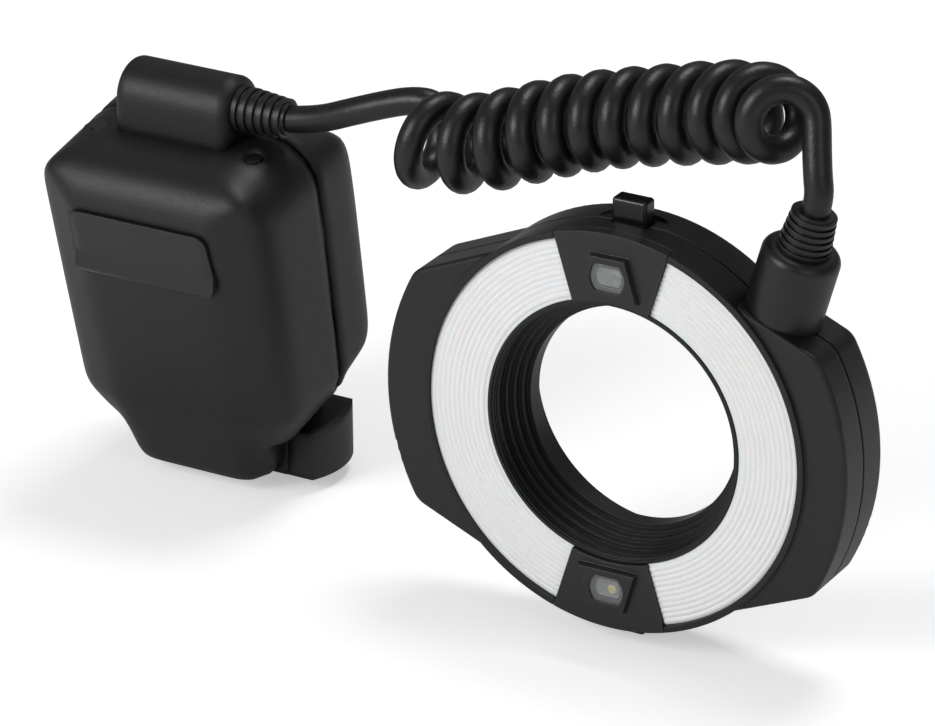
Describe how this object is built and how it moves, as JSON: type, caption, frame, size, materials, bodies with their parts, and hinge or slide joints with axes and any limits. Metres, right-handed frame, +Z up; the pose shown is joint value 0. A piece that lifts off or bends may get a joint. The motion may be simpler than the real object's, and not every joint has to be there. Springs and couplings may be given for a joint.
{
  "type": "ring flash",
  "caption": "Macro ring flash: control unit for an accessory shoe, curly cord, and a ring-shaped light that clips to the front of a macro lens.",
  "frame": {"origin": "on the floor, at the middle of both units' outline without the cord", "axes": "+Z up, -Y the way the ring's light faces, +X from the control unit to the ring head"},
  "size_m": [0.242, 0.0778, 0.1562],
  "materials": {
    "case_plastic": "fine-grained dark grey moulding",
    "plate_plastic": "smooth dark grey satin",
    "head_plastic": "fine-grained dark grey moulding",
    "bore_plastic": "black, ribbed",
    "button_plastic": "black satin",
    "control_plastic": "dark grey satin",
    "relief_rubber": "black rubber",
    "cord_rubber": "black rubber, satin",
    "diffuser_white": "milky white, finely ribbed",
    "reflector_metal": "bright",
    "tube_glass": "clear",
    "smoked_window": "smoked",
    "lamp_plastic": "pale",
    "display_glass": "clear",
    "display_panel": "grey green, blank",
    "board": "green laminate",
    "inner_plastic": "black",
    "cell_wrap": "plain wrap",
    "can_metal": "sleeved can",
    "core_ferrite": "dark sintered core with its winding",
    "contact_brass": "plated",
    "screw_steel": "dark plated",
    "spring_steel": "drawn wire",
    "shoe_metal": "brushed"
  },
  "bodies": {
    "flash": {"front_shell": "case_plastic", "rear_shell": "case_plastic", "cable_housing": "case_plastic", "foot_block": "case_plastic", "face_plate": "plate_plastic", "rear_panel": "plate_plastic", "ring_front_cover": "head_plastic", "ring_rear_cover": "head_plastic", "cable_boss": "head_plastic", "sector_cover_top": "head_plastic", "sector_cover_bottom": "head_plastic", "bore_sleeve": "bore_plastic", "unit_strain_relief": "relief_rubber", "head_strain_relief": "relief_rubber", "cord_lead_unit": "cord_rubber", "cord_coil": "cord_rubber", "cord_lead_head": "cord_rubber", "diffuser_right": "diffuser_white", "diffuser_left": "diffuser_white", "reflector_right": "reflector_metal", "reflector_left": "reflector_metal", "flash_tube_right": "tube_glass", "flash_tube_left": "tube_glass", "lamp_window_top": "smoked_window", "lamp_window_bottom": "smoked_window", "lamp_top": "lamp_plastic", "lamp_bottom": "lamp_plastic", "display_window": "display_glass", "display": "display_panel", "ring_board": "board", "main_board": "board", "battery_case": "inner_plastic", "capacitor_cradle": "inner_plastic", "battery_cells": "cell_wrap", "capacitor": "can_metal", "transformer": "core_ferrite", "battery_contacts": "contact_brass", "shoe_contacts": "contact_brass", "head_screws": "screw_steel", "case_screws": "screw_steel", "door_pin": "screw_steel", "release_spring_top": "spring_steel", "release_spring_bottom": "spring_steel", "shoe_plate": "shoe_metal"},
    "release_button_top": {"release_button_top": "button_plastic"},
    "release_button_bottom": {"release_button_bottom": "button_plastic"},
    "function_button_1": {"function_button_1": "control_plastic"},
    "function_button_2": {"function_button_2": "control_plastic"},
    "function_button_3": {"function_button_3": "control_plastic"},
    "function_button_4": {"function_button_4": "control_plastic"},
    "set_button": {"set_button": "control_plastic"},
    "test_button": {"test_button": "control_plastic"},
    "lamp_button": {"lamp_button": "control_plastic"},
    "select_dial": {"select_dial": "control_plastic"},
    "power_switch": {"power_switch": "control_plastic"},
    "battery_door": {"battery_door": "case_plastic"},
    "lock_lever": {"lock_lever": "case_plastic"},
    "lock_pin": {"lock_pin": "screw_steel"},
    "lock_release_button": {"lock_release_button": "control_plastic"}
  },
  "joints": [
    {"name": "release_press_top", "type": "slide", "parent": "flash", "child": "release_button_top", "axis": [0, 0, -1], "range_m": [0, 0.0025], "stiffness_N_per_m": 800, "springref_m": -0.003, "deforming": ["release_spring_top"]},
    {"name": "release_press_bottom", "type": "slide", "parent": "flash", "child": "release_button_bottom", "axis": [0, 0, 1], "range_m": [0, 0.0025], "stiffness_N_per_m": 800, "springref_m": -0.003, "deforming": ["release_spring_bottom"]},
    {"name": "function_press_1", "type": "slide", "parent": "flash", "child": "function_button_1", "axis": [0, -0.9799, -0.1994], "range_m": [0, 0.0008], "stiffness_N_per_m": 400, "springref_m": -0.002},
    {"name": "function_press_2", "type": "slide", "parent": "flash", "child": "function_button_2", "axis": [0, -0.9799, -0.1994], "range_m": [0, 0.0008], "stiffness_N_per_m": 400, "springref_m": -0.002},
    {"name": "function_press_3", "type": "slide", "parent": "flash", "child": "function_button_3", "axis": [0, -0.9799, -0.1994], "range_m": [0, 0.0008], "stiffness_N_per_m": 400, "springref_m": -0.002},
    {"name": "function_press_4", "type": "slide", "parent": "flash", "child": "function_button_4", "axis": [0, -0.9799, -0.1994], "range_m": [0, 0.0008], "stiffness_N_per_m": 400, "springref_m": -0.002},
    {"name": "set_press", "type": "slide", "parent": "flash", "child": "set_button", "axis": [0, -0.9799, -0.1994], "range_m": [0, 0.0008], "stiffness_N_per_m": 400, "springref_m": -0.002},
    {"name": "test_press", "type": "slide", "parent": "flash", "child": "test_button", "axis": [0, -0.9799, -0.1994], "range_m": [0, 0.0008], "stiffness_N_per_m": 400, "springref_m": -0.002},
    {"name": "lamp_press", "type": "slide", "parent": "flash", "child": "lamp_button", "axis": [0, -0.9799, -0.1994], "range_m": [0, 0.0008], "stiffness_N_per_m": 400, "springref_m": -0.002},
    {"name": "lock_release_press", "type": "slide", "parent": "flash", "child": "lock_release_button", "axis": [0, -1, 0], "range_m": [0, 0.0008], "stiffness_N_per_m": 400, "springref_m": -0.002},
    {"name": "dial_turn", "type": "hinge", "parent": "flash", "child": "select_dial", "pos_m": [-0.08553, 0.03521, 0.0508], "axis": [0, 0.9799, 0.1994], "continuous": true},
    {"name": "power_slide", "type": "slide", "parent": "flash", "child": "power_switch", "axis": [1, 0, 0], "range_m": [0, 0.006]},
    {"name": "door_swing", "type": "hinge", "parent": "flash", "child": "battery_door", "pos_m": [-0.11893, -0.00594, 0.06243], "axis": [0, -0.1994, 0.9799], "range_deg": [0, 100]},
    {"name": "lever_turn", "type": "hinge", "parent": "flash", "child": "lock_lever", "pos_m": [-0.08553, 0.0106, 0.0084], "axis": [0, 0, 1], "range_deg": [0, 35]},
    {"name": "pin_drop", "type": "slide", "parent": "flash", "child": "lock_pin", "axis": [0, 0, -1], "range_m": [0, 0.0014]}
  ],
  "couplings": [
    {"joint": "pin_drop", "follows": "lever_turn", "m_per_rad": 0.00229}
  ]
}
